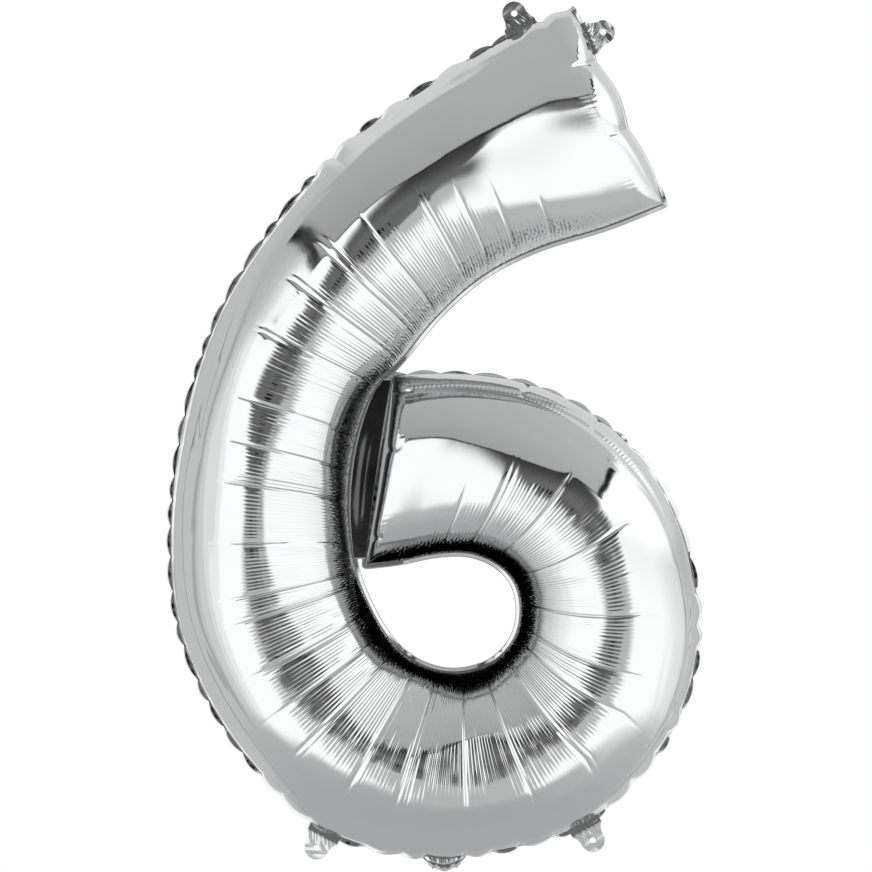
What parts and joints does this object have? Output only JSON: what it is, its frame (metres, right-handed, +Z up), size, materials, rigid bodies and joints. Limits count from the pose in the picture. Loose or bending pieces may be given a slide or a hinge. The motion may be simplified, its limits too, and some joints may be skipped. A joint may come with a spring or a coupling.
{
  "type": "foil number balloon",
  "caption": "Inflated silver foil balloon in the shape of the figure six, with a welded seam, hanging tabs and a folded filling tail.",
  "frame": {"origin": "middle of the bottom of the whole balloon's box, in the weld plane", "axes": "+Z up along the figure's height, +X to the right as seen from the front, -Y out of the front of the figure"},
  "size_m": [0.538, 0.1704, 0.8696],
  "materials": {
    "panel_foil": "mirror-bright metallised film, blown taut, wrinkled along the inside of every bend",
    "seam_foil": "bright two-ply heat weld, slightly scalloped",
    "tab_foil": "bright two-ply film, creased and crumpled",
    "valve_film": "thin clear polythene film"
  },
  "bodies": {
    "balloon": {"front_panel": "panel_foil", "back_panel": "panel_foil", "perimeter_seal": "seam_foil", "valve_front_film": "valve_film"},
    "tab_top_left": {"hang_tab_top_left": "tab_foil"},
    "tab_top_right": {"hang_tab_top_right": "tab_foil"},
    "tab_bottom_left": {"hang_tab_bottom_left": "tab_foil"},
    "tab_bottom_right": {"hang_tab_bottom_right": "tab_foil"},
    "filling_tail": {"filling_tail_front": "tab_foil", "filling_tail_back": "tab_foil"},
    "valve_flap": {"valve_back_film": "valve_film"}
  },
  "joints": [
    {"name": "fold_top_left", "type": "hinge", "parent": "balloon", "child": "tab_top_left", "pos_m": [0.08374, 0, 0.84579], "axis": [0.9042, 0, 0.427], "range_deg": [-85, 85], "stiffness_Nm_per_rad": 0.001},
    {"name": "fold_top_right", "type": "hinge", "parent": "balloon", "child": "tab_top_right", "pos_m": [0.15548, 0, 0.83347], "axis": [0.4305, 0, -0.9026], "range_deg": [-85, 85], "stiffness_Nm_per_rad": 0.001},
    {"name": "fold_bottom_left", "type": "hinge", "parent": "balloon", "child": "tab_bottom_left", "pos_m": [-0.11348, 0, 0.03468], "axis": [-0.886, 0, 0.4637], "range_deg": [-85, 85], "stiffness_Nm_per_rad": 0.001},
    {"name": "fold_bottom_right", "type": "hinge", "parent": "balloon", "child": "tab_bottom_right", "pos_m": [0.15067, 0, 0.04209], "axis": [-0.8755, 0, -0.4832], "range_deg": [-85, 85], "stiffness_Nm_per_rad": 0.001},
    {"name": "unfold_tail", "type": "hinge", "parent": "balloon", "child": "filling_tail", "pos_m": [0.00863, 0, 0.00846], "axis": [-0.9993, 0, -0.0369], "range_deg": [-10, 90], "stiffness_Nm_per_rad": 0.003},
    {"name": "open_valve", "type": "hinge", "parent": "balloon", "child": "valve_flap", "pos_m": [0.00826, 0.00001, 0.01865], "axis": [-0.9993, 0, -0.0369], "range_deg": [0, 8], "stiffness_Nm_per_rad": 0.0005}
  ]
}
